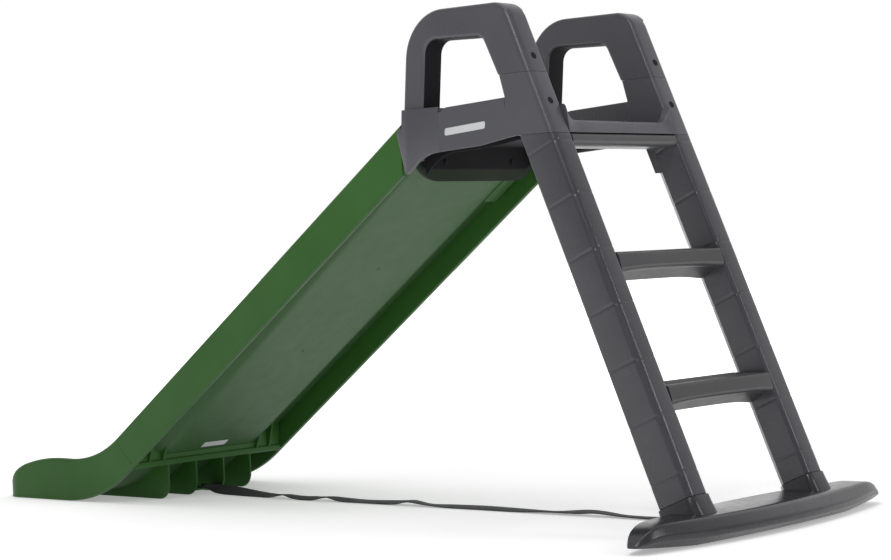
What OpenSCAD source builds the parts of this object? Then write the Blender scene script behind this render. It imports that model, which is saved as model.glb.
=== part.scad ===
// Straight toddler slide: a ladder with two steps, a small deck with two grips
// and a straight chute. Units are millimetres. +X is the ladder end, -X is the
// end of the chute, Z = 0 is the floor and Y = 0 is the plane of symmetry.

/* [Size] */
// Height of the top of the grips above the floor
total_h = 783; // [700:1:860]
// Length from the lip of the chute to the back of the foot bar
total_l = 1632; // [1500:1:1750]
// Width over the outer faces of the ladder rails
ladder_w = 338; // [300:1:380]
// Width over the outer faces of the chute walls
chute_w = 348; // [310:1:390]
// Length of the foot bar across the ladder
foot_w = 612; // [540:1:680]

/* [Ladder] */
// Lean of the ladder away from upright, in degrees
lean = 22.4; // [15:0.1:30]
// Thickness of a rail, across the slide
rail_t = 42; // [36:1:50]
// Depth of a rail, square to its length
rail_d = 61; // [50:1:75]
// Height of the joint between rails and deck
seam_z = 581; // [540:1:620]
// Height of the top of the lower step
step1_z = 213; // [190:1:235]
// Height of the top of the upper step
step2_z = 403; // [380:1:425]
// Height of the joint between deck post and grip
split_z = 673; // [655:1:690]

/* [Chute] */
// Slope of the chute, in degrees
slope = 34.74; // [28:0.01:40]
// Height of a chute wall, square to the slope
wall_h = 65.7; // [55:0.1:75]
// Thickness of a chute wall
wall_t = 8; // [6:1:16]
// Depth of the trough's floor below the wall tops, at the deck
trough_d = 48.5; // [35:0.5:60]
// How much further out each wall stands at the lip than at the deck
flare = 12; // [0:1:20]
// Thickness of the moulded skins
skin = 3; // [3:0.5:6]
// Spacing of the ribs under the chute's end
rib_gap = 65; // [50:1:80]

/* [Strap] */
// Width of the spreader strap
strap_w = 25; // [18:1:40]
// Thickness of the spreader strap
strap_t = 2; // [1:0.5:4]

/* [Hidden] */
half_l = total_l / 2;
out_y = ladder_w / 2;
in_y = out_y - rail_t;
wall_y = chute_w / 2;
tl = tan(lean);
ts = tan(slope);
foot_x = half_l - 60;
foot_d = 120;
rail_x0 = foot_x - 39.7;
rail_hx = rail_d / cos(lean);
floor_gap = 40.4;
deck_z = 592;
front_x = 240;
lip_x = -half_l;
plate_x = -436;
line_z = 357.5;
side_lean = 30.75;
flare_turn = atan(flare / (236 - lip_x));

grey = [0.23, 0.23, 0.25];
green = [0.22, 0.44, 0.16];

// Front and back faces of the rails at height z
function rail_front(z) = rail_x0 - tl * z;
function rail_back(z) = rail_front(z) + rail_hx;

// Rounded outline: r[i] is the fillet radius at point i
function unit(v) = v / norm(v);
function fillet(a, b, c, r, n) = r <= 0 ? [b] :
  let (u = unit(a - b), w = unit(c - b), h = acos(u * w) / 2, t = r / tan(h),
    m = b + unit(u + w) * (r / sin(h)), s = b + u * t - m, e = b + w * t - m,
    a0 = atan2(s[1], s[0]), d0 = atan2(e[1], e[0]) - a0,
    d = d0 > 180 ? d0 - 360 : d0 < -180 ? d0 + 360 : d0)
  [for (i = [0:n]) m + r * [cos(a0 + d * i / n), sin(a0 + d * i / n)]];
function smooth(p, r, n = 6) = let (k = len(p)) [for (i = [0:k - 1])
  each fillet(p[(i + k - 1) % k], p[i], p[(i + 1) % k], r[i], n)];

// A shape drawn in X and Z, carried across Y from y0 to y1
module across(y0, y1) translate([0, y1, 0]) rotate([90, 0, 0]) linear_extrude(y1 - y0) children();

// The same piece on both sides, or on one side: s = -1 left, s = 1 right
module side(s) if (s > 0) children(); else mirror([0, 1, 0]) children();
module both() { children(); mirror([0, 1, 0]) children(); }

// A shape drawn square to a rail, from s0 to s1 along it
module along_rail(s0, s1) translate([rail_x0, 0, 0]) rotate([0, -lean, 0])
  translate([0, 0, s0]) linear_extrude(s1 - s0) children();

// A rail's section, g inside its outline; the inner front corner is cut back
cut = 13;
function rail_section(g = 0, r = 11) = smooth([[g + cut - 0.59 * g, in_y + g], [g, in_y + g + cut - 0.59 * g],
  [g, out_y - g], [rail_d - g, out_y - g], [rail_d - g, in_y + g]],
  [max(3 - g, 0), max(3 - g, 0), max(5 - g, 0), max(r - g, 0), max(7 - g, 0)], 5);

// ---------------- chute ----------------

// Height of the wall's top line and bottom line at x on the straight part
function wall_top(x) = line_z + (x + 128) * ts;
function wall_low(x) = wall_top(x) - wall_h / cos(slope);

// x at which a line parallel to the slope, v lower than the wall's top line, is at height z
function slope_x(z, v) = -128 + (z - line_z + v) / ts;
low_v = wall_h / cos(slope);
skin_v = skin / cos(slope);

// Underside of the trough's floor, which is a little steeper than the walls
floor_ts = ts + 13.5 / (244 - plate_x);
function floor_low(x) = wall_top(plate_x) - trough_d - 13.5 + (x - plate_x) * floor_ts;
function floor_x(z) = plate_x + (z - floor_low(plate_x)) / floor_ts;

// Half-width of the chute at x: it widens from the deck to the lip
function half_w(x) = wall_y + flare * min(1, max(0, (236 - x) / (236 - lip_x)));

rim_line = smooth([[244, wall_top(244)], [slope_x(74.5, 0), 74.5], [-687, 77.5], [-773, 56], [lip_x, 10]],
  [0, 230, 400, 110, 0], 9);
wall_outline = smooth([
  [244, wall_low(244)], [244, wall_top(244)], [slope_x(74.5, 0), 74.5], [-687, 77.5],
  [-773, 56], [lip_x, 10], [lip_x + 1, 0], [slope_x(0, low_v), 0]],
  [0, 0, 230, 400, 110, 8, 0, 300], 9);
floor_line = smooth([[244, floor_low(244)], [floor_x(13), 13], [-786, 13], [lip_x + 8, -4], [lip_x + 8, -60],
  [244, -60]], [0, 230, 22, 0, 0, 0], 9);

// Everything below the trough's surface, v higher than its underside: flat floor and leaning sides
module below_trough(v) {
  across(-200, 200) translate([0, v]) polygon(floor_line);
  both() translate([244, 0, 0]) rotate([0, 0, -flare_turn]) translate([-244, 0, 0])
    rotate([side_lean, 0, 0]) across(-150, 520) polygon(concat(
      [for (p = rim_line) [p[0], (p[1] - trough_d + v - 122 * tan(side_lean)) * cos(side_lean)]],
      [[lip_x, -300], [244, -300]]));
}

// Plan of the chute, g inside its outline
module chute_plan(g) linear_extrude(900) polygon(smooth([[260 + 9 * g, g - wall_y], [260 + 9 * g, wall_y - g],
  [236, wall_y - g], [lip_x + g, half_w(lip_x) - g], [lip_x + g, g - half_w(lip_x)], [236, g - wall_y]],
  [0, 0, 0, 50 - g, 50 - g, 0], 9));

module trough() intersection() {
  difference() {
    below_trough(skin_v);
    below_trough(0);
  }
  chute_plan(0);
  translate([lip_x - 1, -200, 0]) cube([1060, 400, 800]);
}

module rib_outline() polygon(concat(
  smooth([[plate_x - 40, 0], [plate_x, 0], [plate_x, 66]], [0, 27, 0], 6),
  [[plate_x - 2, floor_low(plate_x - 2) + 2]],
  [for (p = floor_line) if (p[0] < plate_x - 4 && p[1] > 1) [p[0], p[1] + 2]],
  [[lip_x + 12, 0]]));

module chute() color(green) union() {
  // Side walls, which meet round the lip
  intersection() {
    across(-200, 200) polygon(wall_outline);
    difference() {
      chute_plan(0);
      translate([0, 0, -1]) chute_plan(wall_t);
    }
  }
  trough();
  // Ribs that carry the end of the chute on the floor
  for (k = [-1.5:1:1.5]) across(k * rib_gap - 2, k * rib_gap + 2) rib_outline();
  // Cross plate between ribs and floor, with its bead and small gussets
  intersection() {
    union() {
      across(-200, 200) translate([plate_x - 5, 62]) square([5, 80]);
      across(-200, 200) translate([plate_x - 5, 62]) square([8, 11]);
      for (y = [-143, -112, 112, 143]) across(y - 1.5, y + 1.5)
        polygon([[plate_x - 1, 70], [plate_x + 7, 71], [plate_x + 30, 118], [plate_x - 1, 118]]);
    }
    below_trough(skin_v / 2);
    chute_plan(wall_t / 2);
  }
  // Pads under the trough's sides, which rest on the deck's side panels
  intersection() {
    both() across(128, 158) polygon([[142, floor_low(142) + 2], [239, floor_low(239) + 2],
      [239, floor_low(239) + 60], [142, floor_low(142) + 60]]);
    below_trough(skin_v / 2);
  }
  // Cross flange at the top, which hooks in front of the deck's skirt
  difference() {
    intersection() {
      across(-wall_y + 4, wall_y - 4) translate([238, 527]) square([6, 80]);
      below_trough(skin_v / 2);
    }
    both() translate([230, 92, 520]) difference() {
      cube([20, 90, 64]);
      translate([-1, 0, 64]) rotate([0, 90, 0]) cylinder(r = 57, h = 22, $fn = 96);
    }
    both() translate([250, 80, 556]) rotate([0, -90, 0]) cylinder(r = 2.2, h = 20, $fn = 24);
  }
  // Seat of the spreader strap between the two middle ribs
  difference() {
    across(-rib_gap / 2, rib_gap / 2) translate([plate_x - 34, 8]) square([30, 4]);
    translate([strap_x0 + 8, 0, 0]) cylinder(r = 2.05, h = 30, $fn = 24);
  }
}

// ---------------- deck ----------------

// Underside of the side panels, from the rails to the tip at the front
panel_low = [[470, seam_z], [400, 571], [300, 566.5], [274, 554], [254, 536.5]];
panel_outline = smooth(concat([[front_x + 4, 603], [front_x + 7, 636], [302, 636], [303, 621],
  [334, 634], [452, 639], [443, split_z], [rail_back(split_z), split_z],
  [rail_back(seam_z), seam_z]], panel_low),
  [12, 5, 0, 2, 6, 5, 0, 0, 0, 40, 200, 50, 60, 0], 6);

module platform() color(grey) difference() {
  union() {
    // Side panels with the posts for the grips
    both() difference() {
      across(in_y, out_y) polygon(panel_outline);
      // Round the outer back edge of the post
      intersection() {
        along_rail(600, 760) difference() {
          translate([rail_d - 11, out_y - 11]) square([20, 20]);
          translate([rail_d - 11, out_y - 11]) circle(r = 11, $fn = 48);
        }
        translate([300, 0, seam_z - 20]) cube([300, 300, 200]);
      }
    }
    // Front ends that flare out over the chute walls
    both() intersection() {
      across(out_y - 9, wall_y + 5) polygon(smooth(concat([[front_x - 1, 602], [front_x + 10, 610],
        [front_x + 12, 636], [330, 636], [330, 568]], [for (i = [2:4]) panel_low[i]]),
        [3, 6, 3, 0, 0, 50, 60, 0], 6));
      linear_extrude(700) polygon([[200, out_y - 3], [200, wall_y + 4], [262, wall_y + 4],
        [316, out_y], [316, out_y - 3]]);
    }
    // Deck, with its raised back edge
    across(-in_y - 1, in_y + 1) polygon(smooth([[250, deck_z - 12], [250, deck_z],
      [rail_back(deck_z) - 24, deck_z], [rail_back(deck_z) - 16, 600],
      [rail_back(600), 600], [rail_back(seam_z), seam_z], [rail_back(seam_z) - 20, seam_z],
      [rail_back(seam_z) - 26, deck_z - 12]], [0, 4, 4, 4, 6, 0, 0, 0], 5));
    // Front skirt that the chute hooks over
    translate([244, 0, 0]) rotate([90, 0, 90]) linear_extrude(6) polygon(smooth([[-in_y - 1, 545],
      [in_y + 1, 545], [in_y + 1, deck_z - 4], [-in_y - 1, deck_z - 4]], [16, 16, 0, 0], 6));
    // Hollows between the back edge and the posts
    both() difference() {
      across(in_y - 24, in_y + 1) polygon([[rail_back(597) - 16, 597], [rail_back(597), 597],
        [rail_back(622), 622], [rail_back(622) - 16, 622]]);
      translate([380, in_y - 24, 624]) rotate([0, 90, 0]) cylinder(r = 24, h = 220, $fn = 64);
    }
    // Longitudinal ribs under the deck
    both() across(50, 54) translate([250, 566]) square([230, 18]);
  }
  // Pockets inside the side panels, open underneath
  both() difference() {
    across(in_y + skin, out_y - skin) polygon([[249, 500], [249, 596], [299, 596], [304, 612], [335, 624],
      [440, 628], [448, 560], [460, 530]]);
  }
  // Channel of the post for the ladder's tenon
  both() along_rail(560, 760) polygon(rail_section(6, 11));
  // Seat of the grip's front leg
  both() across(in_y + 7, out_y - 7) translate([252, 600]) square([32, 60]);
  // Room for the end of the chute, and for its screws
  across(-wall_y - 0.3, wall_y + 0.3) translate([200, 500]) square([44, 118]);
  both() translate([256, 80, 556]) rotate([0, -90, 0]) cylinder(r = 2.2, h = 20, $fn = 24);
  both() screw_bore(rail_screw_z[1]);
}

rail_screw_z = [697, 629];

// Screw holes through the back of the grip and post, square to the rails
module screw_bore(z) translate([rail_back(z), (in_y + out_y) / 2, z]) rotate([0, 90 - lean, 0]) {
  translate([0, 0, -4]) cylinder(r = 5.5, h = 12, $fn = 32);
  translate([0, 0, -34]) cylinder(r = 2.2, h = 40, $fn = 24);
}

module back_screw(z, s) color([0.12, 0.12, 0.13]) side(s)
  translate([rail_back(z), (in_y + out_y) / 2, z]) rotate([0, 90 - lean, 0]) difference() {
    union() {
      translate([0, 0, -4]) cylinder(r = 5.2, h = 3, $fn = 32);
      translate([0, 0, -24]) cylinder(r = 2.2, h = 21, $fn = 24);
    }
    for (a = [0, 90]) rotate([0, 0, a]) translate([-2.6, -0.5, -2.4]) cube([5.2, 1, 3]);
  }

// ---------------- grips ----------------

grip_outline = smooth([
  [247, 636], [263, total_h + 1.4], [rail_back(total_h - 3), total_h - 3],
  [rail_back(split_z), split_z], [440, split_z],
  [412.5, total_h - 50], [299, total_h - 44.5], [288, 636]],
  [2, 76, 36, 0, 0, 16, 22, 0], 12);

module grip(s) color(grey) side(s) difference() {
  union() {
    across(in_y, out_y) polygon(grip_outline);
    // Tongue of the front leg in the side panel
    across(in_y + 7.5, out_y - 7.5) translate([252.5, 602]) square([31, 40]);
  }
  along_rail(560, 760) polygon(rail_section(6, 11));
  along_rail(600, 840) difference() {
    translate([rail_d - 11, out_y - 11]) square([20, 20]);
    translate([rail_d - 11, out_y - 11]) circle(r = 11, $fn = 48);
  }
  screw_bore(rail_screw_z[0]);
  // Hollow of the front leg
  across(in_y + skin + 8, out_y - skin - 8) polygon([[257, 590], [279, 590], [286, 700], [266, 700]]);
}
module grip_left() grip(-1);
module grip_right() grip(1);

// ---------------- ladder ----------------

module rail(s) color(grey) side(s) difference() {
  union() {
    difference() {
      along_rail(floor_gap / cos(lean), 700) polygon(rail_section());
      translate([300, 0, seam_z]) cube([400, 300, 300]);
    }
    // Squared inner front corner under the deck
    intersection() {
      along_rail(500, 700) polygon([[0, in_y], [cut + 1.5, in_y], [cut + 1.5, in_y + 2], [2, in_y + cut + 1.5],
        [0, in_y + cut + 1.5]]);
      translate([400, 0, 523]) cube([200, 300, seam_z - 523]);
    }
    // Tenon through the deck's post into the grip
    difference() {
      along_rail(500, 716 / cos(lean)) polygon(rail_section(6.4, 11));
      translate([300, 0, 716]) cube([400, 300, 300]);
    }
  }
  // Hollow of the rail
  difference() {
    along_rail(0, 700) polygon(rail_section(skin, 11));
    translate([300, 0, seam_z - 30]) cube([400, 300, 300]);
  }
  along_rail(560, 740) translate([18, in_y + 14]) square([rail_d - 36, rail_t - 28]);
  // Slots for the tongues of the steps
  for (z = [step1_z, step2_z]) step_tongue(z, 0.2);
  for (z = rail_screw_z) screw_bore(z);
}
module rail_left() rail(-1);
module rail_right() rail(1);

module step_tongue(z, g) across(in_y - 1, in_y + 14 + g)
  polygon([[rail_front(z - 4) + 10 - g, z - 4 + g], [rail_back(z - 4) - 10 + g, z - 4 + g],
    [rail_back(z - 22) - 10 + g, z - 22 - g], [rail_front(z - 22) + 10 - g, z - 22 - g]]);

module step(z) color(grey) difference() {
  union() {
    across(-in_y, in_y) polygon(smooth([
      [rail_front(z) + 2, z], [rail_back(z) + 1, z], [rail_back(z - 30) - 3, z - 30],
      [rail_back(z - 30) - 22, z - 30], [rail_front(z - 46) + 10, z - 46], [rail_front(z - 46) + 2, z - 46]],
      [3, 6, 8, 6, 4, 3], 5));
    both() step_tongue(z, 0);
  }
  // Open underneath, with two webs
  for (y = [-83, 0, 83]) across(y - 40, y + 40)
    polygon([[rail_front(z - 5) + 7, z - 5], [rail_back(z - 5) - 6, z - 5],
      [rail_back(z - 24) - 10, z - 24], [rail_back(z - 24) - 10, z - 60], [rail_front(z - 60) + 6, z - 60]]);
}
module step_lower() step(step1_z);
module step_upper() step(step2_z);

module top_crossbar() color(grey) difference() {
  across(-in_y, in_y) polygon(smooth([
    [rail_front(578) + 6, seam_z], [rail_back(578) - 2, seam_z], [rail_back(561) - 2, 561],
    [rail_front(561) + 6, 561]], [2, 8, 8, 2], 6));
  across(-in_y + skin, in_y - skin) polygon([[rail_front(574) + 12, 575], [rail_back(574) - 12, 575],
    [rail_back(550) - 14, 550], [rail_front(550) + 12, 550]]);
}

// ---------------- foot ----------------

// Boat-shaped plan between two arcs
function boat(h, w, n = 18) = let (r = (h * h + w * w / 4) / (2 * h), a = asin(w / 2 / r))
  concat([for (i = [0:n]) let (t = -a + 2 * a * i / n) [r * cos(t) - (r - h), r * sin(t)]],
    [for (i = [1:n - 1]) let (t = a - 2 * a * i / n) [-(r * cos(t) - (r - h)), r * sin(t)]]);

module foot_solid(g) intersection() {
  translate([foot_x, 0, 0]) linear_extrude(60) polygon(boat(foot_d / 2 - g, foot_w + 90 - 4 * g));
  across(-foot_w / 2 + g, foot_w / 2 - g) translate([foot_x, 0]) polygon(smooth([
    [-58 + g, 0], [-60 + g, 12], [-52, 38 - g], [42, 38 - g], [59 - g, 22], [60 - g, 13], [30 - g, 0]],
    [0, 6, 12, 17, 8, 3, 8], 5));
  translate([foot_x - 80, 0, 0]) rotate([90, 0, 90]) linear_extrude(160) polygon(smooth([
    [-190, 0], [-foot_w / 2 + g, 9], [-foot_w / 2 + g, 15], [-290, 34 - g], [-262, 39 - g], [262, 39 - g],
    [290, 34 - g], [foot_w / 2 - g, 15], [foot_w / 2 - g, 9], [190, 0]], [200, 0, 4, 24, 60, 60, 24, 4, 0, 200], 6));
}

module foot_bar() color(grey) difference() {
  union() {
    difference() {
      foot_solid(0);
      translate([0, 0, -1]) intersection() {
        foot_solid(5);
        translate([600, -270, -5]) cube([220, 540, 60]);
      }
    }
    // Cross webs under the bar
    for (y = [-90, 0, 90]) intersection() {
      foot_solid(1);
      translate([foot_x - 70, y - 2, 0]) cube([140, 4, 42]);
    }
    // Boss that the strap is screwed to
    intersection() {
      foot_solid(1);
      translate([strap_x1 - 18, -11, 0]) cube([20, 22, 42]);
    }
    // Sockets that the rails stand on, with the spigots inside the rails
    both() intersection() {
      union() {
        along_rail(-40, floor_gap / cos(lean) - 0.2) polygon(rail_section(-2.5, 11));
        along_rail(0, floor_gap / cos(lean) + 34) polygon(rail_section(skin + 0.4, 11));
      }
      translate([600, 0, 0]) cube([240, 300, 120]);
    }
  }
  both() foot_hole();
  // Way in for the spreader strap, and the hole of its screw
  translate([foot_x - 80, -strap_w / 2 - 1, -1]) cube([50, strap_w + 2, 9]);
  translate([strap_x1 - 8, 0, 0]) cylinder(r = 2.05, h = 24, $fn = 24);
}

// Screws up through the bar into the spigots
module foot_hole() translate([rail_front(0) + rail_hx / 2, (in_y + out_y) / 2, 0]) {
  translate([0, 0, -1]) cylinder(r = 6, h = 9, $fn = 32);
  cylinder(r = 2.6, h = 60, $fn = 24);
}
module foot_screw(s) color([0.12, 0.12, 0.13]) side(s)
  translate([rail_front(0) + rail_hx / 2, (in_y + out_y) / 2, 0]) difference() {
    union() {
      translate([0, 0, 4]) cylinder(r = 5.6, h = 4, $fn = 32);
      translate([0, 0, 7]) cylinder(r = 2.6, h = 45, $fn = 24);
    }
    for (a = [0, 90]) rotate([0, 0, a]) translate([-2.6, -0.5, 3]) cube([5.2, 1, 2.4]);
  }
module foot_screw_left() foot_screw(-1);
module foot_screw_right() foot_screw(1);

module grip_screw_left() back_screw(rail_screw_z[0], -1);
module grip_screw_right() back_screw(rail_screw_z[0], 1);
module post_screw_left() back_screw(rail_screw_z[1], -1);
module post_screw_right() back_screw(rail_screw_z[1], 1);

// Screws through the deck's skirt into the chute's flange
module chute_screw(s) color([0.12, 0.12, 0.13]) side(s) translate([250, 80, 556]) rotate([0, -90, 0]) union() {
  translate([0, 0, -3]) cylinder(r = 5, h = 3, $fn = 32);
  cylinder(r = 2.2, h = 11, $fn = 24);
}
module chute_screw_left() chute_screw(-1);
module chute_screw_right() chute_screw(1);

// ---------------- strap ----------------

strap_x0 = plate_x - 28;
strap_x1 = foot_x - foot_d / 2 + 28;

module strap() color([0.05, 0.05, 0.06]) difference() {
  across(-strap_w / 2, strap_w / 2)
    polygon([[strap_x0, 12], [strap_x0 + 30, 12], [strap_x0 + 50, 5], [strap_x0 + 90, 0.6],
      [strap_x1 - 70, 0.6], [strap_x1 - 34, 6], [strap_x1, 6],
      [strap_x1, 6 + strap_t], [strap_x1 - 34, 6 + strap_t], [strap_x1 - 70, 0.6 + strap_t],
      [strap_x0 + 90, 0.6 + strap_t], [strap_x0 + 50, 5 + strap_t], [strap_x0 + 30, 12 + strap_t],
      [strap_x0, 12 + strap_t]]);
  for (x = [strap_x0 + 8, strap_x1 - 8]) translate([x, 0, 0]) cylinder(r = 2.05, h = 30, $fn = 24);
}

module strap_anchor_front() color([0.12, 0.12, 0.13]) translate([strap_x0 + 8, 0, 0]) union() {
  translate([0, 0, 12 + strap_t]) cylinder(r = 6, h = 2.5, $fn = 32);
  translate([0, 0, 6]) cylinder(r = 2, h = 10, $fn = 24);
}

module strap_anchor_rear() color([0.12, 0.12, 0.13]) translate([strap_x1 - 8, 0, 0]) union() {
  translate([0, 0, 4]) cylinder(r = 6, h = 2, $fn = 32);
  translate([0, 0, 5]) cylinder(r = 2, h = 15, $fn = 24);
}

// ---------------- markings ----------------

module blank_label() color([0.8, 0.8, 0.8]) across(-26, 30)
  translate([plate_x + 12.6, floor_low(plate_x + 12.6)]) rotate([0, 0, atan(floor_ts)])
  translate([-7.25, -0.5]) square([14.5, 0.5]);

module badge(s) color([0.85, 0.86, 0.87]) side(s) across(out_y, out_y + 0.8)
  polygon(smooth([[331, 591], [412, 596], [414, 607], [333, 602]], [3, 3, 3, 3], 5));
module badge_left() badge(-1);
module badge_right() badge(1);

chute();
platform();
grip_left();
grip_right();
rail_left();
rail_right();
step_lower();
step_upper();
top_crossbar();
foot_bar();
strap();
strap_anchor_front();
strap_anchor_rear();
grip_screw_left();
grip_screw_right();
post_screw_left();
post_screw_right();
foot_screw_left();
foot_screw_right();
chute_screw_left();
chute_screw_right();
blank_label();
badge_left();
badge_right();
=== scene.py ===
"""Looks of the toddler slide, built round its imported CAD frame. Lengths are millimetres in the frame's axes:
+X is the ladder end, -X the chute's lip, Z = 0 the floor and Y = 0 the plane of symmetry."""

import math

import bmesh
import bpy
import numpy as np
from mathutils import Matrix, Vector


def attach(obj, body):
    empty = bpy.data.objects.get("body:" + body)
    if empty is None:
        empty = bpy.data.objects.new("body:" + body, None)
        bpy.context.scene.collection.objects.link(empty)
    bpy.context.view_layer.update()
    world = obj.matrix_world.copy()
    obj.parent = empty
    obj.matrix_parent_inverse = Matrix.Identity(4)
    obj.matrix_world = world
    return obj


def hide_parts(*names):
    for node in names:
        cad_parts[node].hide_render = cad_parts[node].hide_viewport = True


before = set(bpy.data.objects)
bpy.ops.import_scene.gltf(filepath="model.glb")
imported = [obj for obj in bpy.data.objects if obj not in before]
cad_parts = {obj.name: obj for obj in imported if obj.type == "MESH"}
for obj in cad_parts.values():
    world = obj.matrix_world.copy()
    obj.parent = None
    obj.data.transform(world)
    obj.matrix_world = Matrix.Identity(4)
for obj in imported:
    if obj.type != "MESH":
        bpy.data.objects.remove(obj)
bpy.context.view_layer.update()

MM = 0.001
SIDES = (("left", -1), ("right", 1))

# ---------------------------------------------------------------- camera
IMAGE_W = 891
AZIMUTH, ELEVATION, ROLL = math.radians(42.45), math.radians(0.64), math.radians(-2.72)
AIM = Vector((0.164, 0.0, 0.371))
DISTANCE = 3.426
FOCAL_PX = 2111.3


def add_camera():
    data = bpy.data.cameras.new("camera")
    data.sensor_width = 36.0
    data.lens = FOCAL_PX * data.sensor_width / IMAGE_W
    camera = bpy.data.objects.new("camera", data)
    back = Vector((math.sin(AZIMUTH) * math.cos(ELEVATION), -math.cos(AZIMUTH) * math.cos(ELEVATION),
                   math.sin(ELEVATION)))
    right = (-back).cross(Vector((0, 0, 1))).normalized()
    up = back.cross(right)
    turned = math.cos(ROLL) * right + math.sin(ROLL) * up
    upright = -math.sin(ROLL) * right + math.cos(ROLL) * up
    camera.matrix_world = Matrix.Translation(AIM + back * DISTANCE) @ Matrix(
        (turned, upright, back)).transposed().to_4x4()
    bpy.context.scene.collection.objects.link(camera)
    bpy.context.scene.camera = camera


add_camera()


# ---------------------------------------------------------------- materials
def rgb(r, g, b):
    """A colour given in sRGB, 0 to 255, as linear RGBA."""
    return [((c / 255 + 0.055) / 1.055) ** 2.4 if c > 10 else c / 255 / 12.92 for c in (r, g, b)] + [1.0]


def new_material(name):
    m = bpy.data.materials.new(name)
    m.use_nodes = True
    return m, m.node_tree.nodes, m.node_tree.links, m.node_tree.nodes["Principled BSDF"]


def noise(nodes, links, coords, scale, detail=4.0, rough=0.55):
    n = nodes.new("ShaderNodeTexNoise")
    n.inputs["Scale"].default_value = scale
    n.inputs["Detail"].default_value = detail
    n.inputs["Roughness"].default_value = rough
    links.new(coords, n.inputs["Vector"])
    return n.outputs["Fac"]


def ramp(nodes, links, fac, stops):
    r = nodes.new("ShaderNodeValToRGB")
    for i, (at, value) in enumerate(stops):
        e = r.color_ramp.elements[i] if i < 2 else r.color_ramp.elements.new(at)
        e.position = at
        e.color = value if hasattr(value, "__len__") else [value, value, value, 1.0]
    links.new(fac, r.inputs["Fac"])
    return r.outputs["Color"]


def mix(nodes, links, fac, a, b):
    """Colour a blended into b by fac; each is a value or another node's output."""
    m = nodes.new("ShaderNodeMix")
    m.data_type = "RGBA"
    for value, key in ((fac, 0), (a, 6), (b, 7)):
        if hasattr(value, "is_output"):
            links.new(value, m.inputs[key])
        else:
            m.inputs[key].default_value = value
    return m.outputs[2]


def plastic(name, colour, rough=0.36, worn=0.10, grain=0.25, specular=0.5, below=None):
    """Moulded plastic: a slow drift in tone, fine orange peel, scuffs and paler rubbed edges; given below, a
    painted reflection that makes the side facing down paler.
    """
    m, nodes, links, bsdf = new_material(name)
    at = nodes.new("ShaderNodeTexCoord").outputs["Object"]
    drift = noise(nodes, links, at, 4.5, 3.0)
    darker = [c * 0.88 for c in colour[:3]] + [1.0]
    paler = [min(1.0, c * 1.10 + 0.004) for c in colour[:3]] + [1.0]
    base = ramp(nodes, links, drift, ((0.3, darker), (0.7, paler)))
    # Rubbed edges and small scratches
    geometry = nodes.new("ShaderNodeNewGeometry").outputs["Pointiness"]
    edge = ramp(nodes, links, geometry, ((0.52, 0.0), (0.60, worn)))
    rubbed = [min(1.0, c * 1.8 + 0.03) for c in colour[:3]] + [1.0]
    base = mix(nodes, links, edge, base, rubbed)
    if below is not None:
        # Painted reflection: the side facing down is painted paler and greyer, standing in for light bounced
        # up from the floor
        split = nodes.new("ShaderNodeSeparateXYZ")
        links.new(nodes.new("ShaderNodeNewGeometry").outputs["Normal"], split.inputs[0])
        turned = nodes.new("ShaderNodeMapRange")
        turned.inputs["From Min"].default_value, turned.inputs["From Max"].default_value = -0.25, -0.6
        links.new(split.outputs["Z"], turned.inputs["Value"])
        base = mix(nodes, links, turned.outputs["Result"], base, below)
    links.new(base, bsdf.inputs["Base Color"])
    scuff = noise(nodes, links, at, 38.0, 6.0, 0.7)
    smear = noise(nodes, links, at, 7.0, 4.0)
    links.new(ramp(nodes, links, mix(nodes, links, 0.5, scuff, smear),
                   ((0.35, rough - 0.05), (0.65, rough + 0.09))), bsdf.inputs["Roughness"])
    bsdf.inputs["Specular IOR Level"].default_value = specular
    fine, wavy = noise(nodes, links, at, 900.0, 2.0), noise(nodes, links, at, 26.0, 2.0)
    bump = nodes.new("ShaderNodeBump")
    bump.inputs["Strength"].default_value = grain
    bump.inputs["Distance"].default_value = 0.00016
    links.new(fine, bump.inputs["Height"])
    sink = nodes.new("ShaderNodeBump")
    sink.inputs["Strength"].default_value = 0.18
    sink.inputs["Distance"].default_value = 0.0016
    links.new(wavy, sink.inputs["Height"])
    links.new(bump.outputs["Normal"], sink.inputs["Normal"])
    links.new(sink.outputs["Normal"], bsdf.inputs["Normal"])
    return m


def webbing(name, colour):
    """Flat woven strap: ribs across and along, dull, slightly dusty."""
    m, nodes, links, bsdf = new_material(name)
    at = nodes.new("ShaderNodeTexCoord").outputs["Object"]
    weave = nodes.new("ShaderNodeTexWave")
    weave.bands_direction = "X"
    weave.inputs["Scale"].default_value = 140.0
    weave.inputs["Distortion"].default_value = 0.6
    links.new(at, weave.inputs["Vector"])
    along = nodes.new("ShaderNodeTexWave")
    along.bands_direction = "Y"
    along.inputs["Scale"].default_value = 190.0
    links.new(at, along.inputs["Vector"])
    both = mix(nodes, links, 0.5, weave.outputs["Fac"], along.outputs["Fac"])
    dust = noise(nodes, links, at, 9.0, 4.0)
    pale = [c * 2.2 + 0.004 for c in colour[:3]] + [1.0]
    links.new(mix(nodes, links, ramp(nodes, links, dust, ((0.4, 0.0), (0.75, 0.6))), colour, pale),
              bsdf.inputs["Base Color"])
    bsdf.inputs["Roughness"].default_value = 0.82
    bsdf.inputs["Sheen Weight"].default_value = 0.15
    bump = nodes.new("ShaderNodeBump")
    bump.inputs["Strength"].default_value = 0.7
    bump.inputs["Distance"].default_value = 0.0005
    links.new(both, bump.inputs["Height"])
    links.new(bump.outputs["Normal"], bsdf.inputs["Normal"])
    return m


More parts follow.
